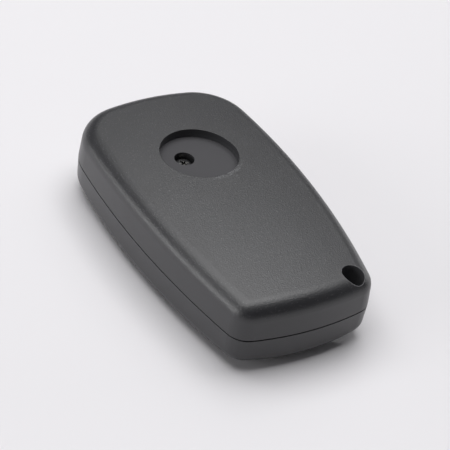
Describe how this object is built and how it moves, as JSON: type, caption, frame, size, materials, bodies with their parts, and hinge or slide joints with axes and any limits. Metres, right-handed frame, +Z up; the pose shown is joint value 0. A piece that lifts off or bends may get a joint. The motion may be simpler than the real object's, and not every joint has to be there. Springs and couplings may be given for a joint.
{
  "type": "flip key shell",
  "caption": "Folding car key shell: two domed covers, an uncut blade on a turning arm, a release button, remote keys, a cell cradle and a bare badge recess.",
  "frame": {"origin": "middle of the footprint, on the surface that the shell lies on, button side down", "axes": "+Z up out of the badge face, +Y towards the wide end where the blade is hinged, +X towards the side that the blade folds into"},
  "size_m": [0.0395, 0.07, 0.0172],
  "materials": {
    "case_plastic": "fine spark-eroded grain, satin",
    "arm_plastic": "fine satin",
    "button_plastic": "smooth satin",
    "inner_plastic": "plain moulded",
    "washer_plastic": "waxy natural nylon",
    "silicone": "matt silicone",
    "blade_metal": "milled nickel silver",
    "screw_steel": "black zinc",
    "spring_steel": "drawn wire",
    "contact_metal": "nickel-plated strip"
  },
  "bodies": {
    "case": {"rear_cover": "case_plastic", "front_cover": "case_plastic", "cover_screw": "screw_steel", "hub_washer": "washer_plastic", "spring_cup": "arm_plastic", "flip_spring": "spring_steel", "button_pad": "silicone", "pad_frame": "inner_plastic", "cell_cradle": "inner_plastic", "positive_contact": "contact_metal", "negative_contact": "contact_metal", "chip_holder": "inner_plastic", "chip_cover": "inner_plastic"},
    "blade": {"blade_arm": "arm_plastic", "key_blade": "blade_metal", "blade_pin": "spring_steel"},
    "release": {"release_button": "button_plastic"},
    "lock_key": {"lock_button": "button_plastic"},
    "boot_key": {"boot_button": "button_plastic"},
    "unlock_key": {"unlock_button": "button_plastic"}
  },
  "joints": [
    {"name": "blade_flip", "type": "hinge", "parent": "case", "child": "blade", "pos_m": [0.0086, 0.0234, 0.00825], "axis": [0, 0, 1], "range_deg": [0, 180], "deforming": ["flip_spring"]},
    {"name": "release_press", "type": "slide", "parent": "blade", "child": "release", "axis": [0, 0, 1], "range_m": [0, 0.002], "stiffness_N_per_m": 300, "springref_m": -0.003, "deforming": ["flip_spring"]},
    {"name": "lock_press", "type": "slide", "parent": "case", "child": "lock_key", "axis": [0, 0, 1], "range_m": [0, 0.0007], "stiffness_N_per_m": 300, "springref_m": -0.002, "deforming": ["button_pad"]},
    {"name": "boot_press", "type": "slide", "parent": "case", "child": "boot_key", "axis": [0, 0, 1], "range_m": [0, 0.0007], "stiffness_N_per_m": 300, "springref_m": -0.002, "deforming": ["button_pad"]},
    {"name": "unlock_press", "type": "slide", "parent": "case", "child": "unlock_key", "axis": [0, 0, 1], "range_m": [0, 0.0007], "stiffness_N_per_m": 300, "springref_m": -0.002, "deforming": ["button_pad"]}
  ]
}
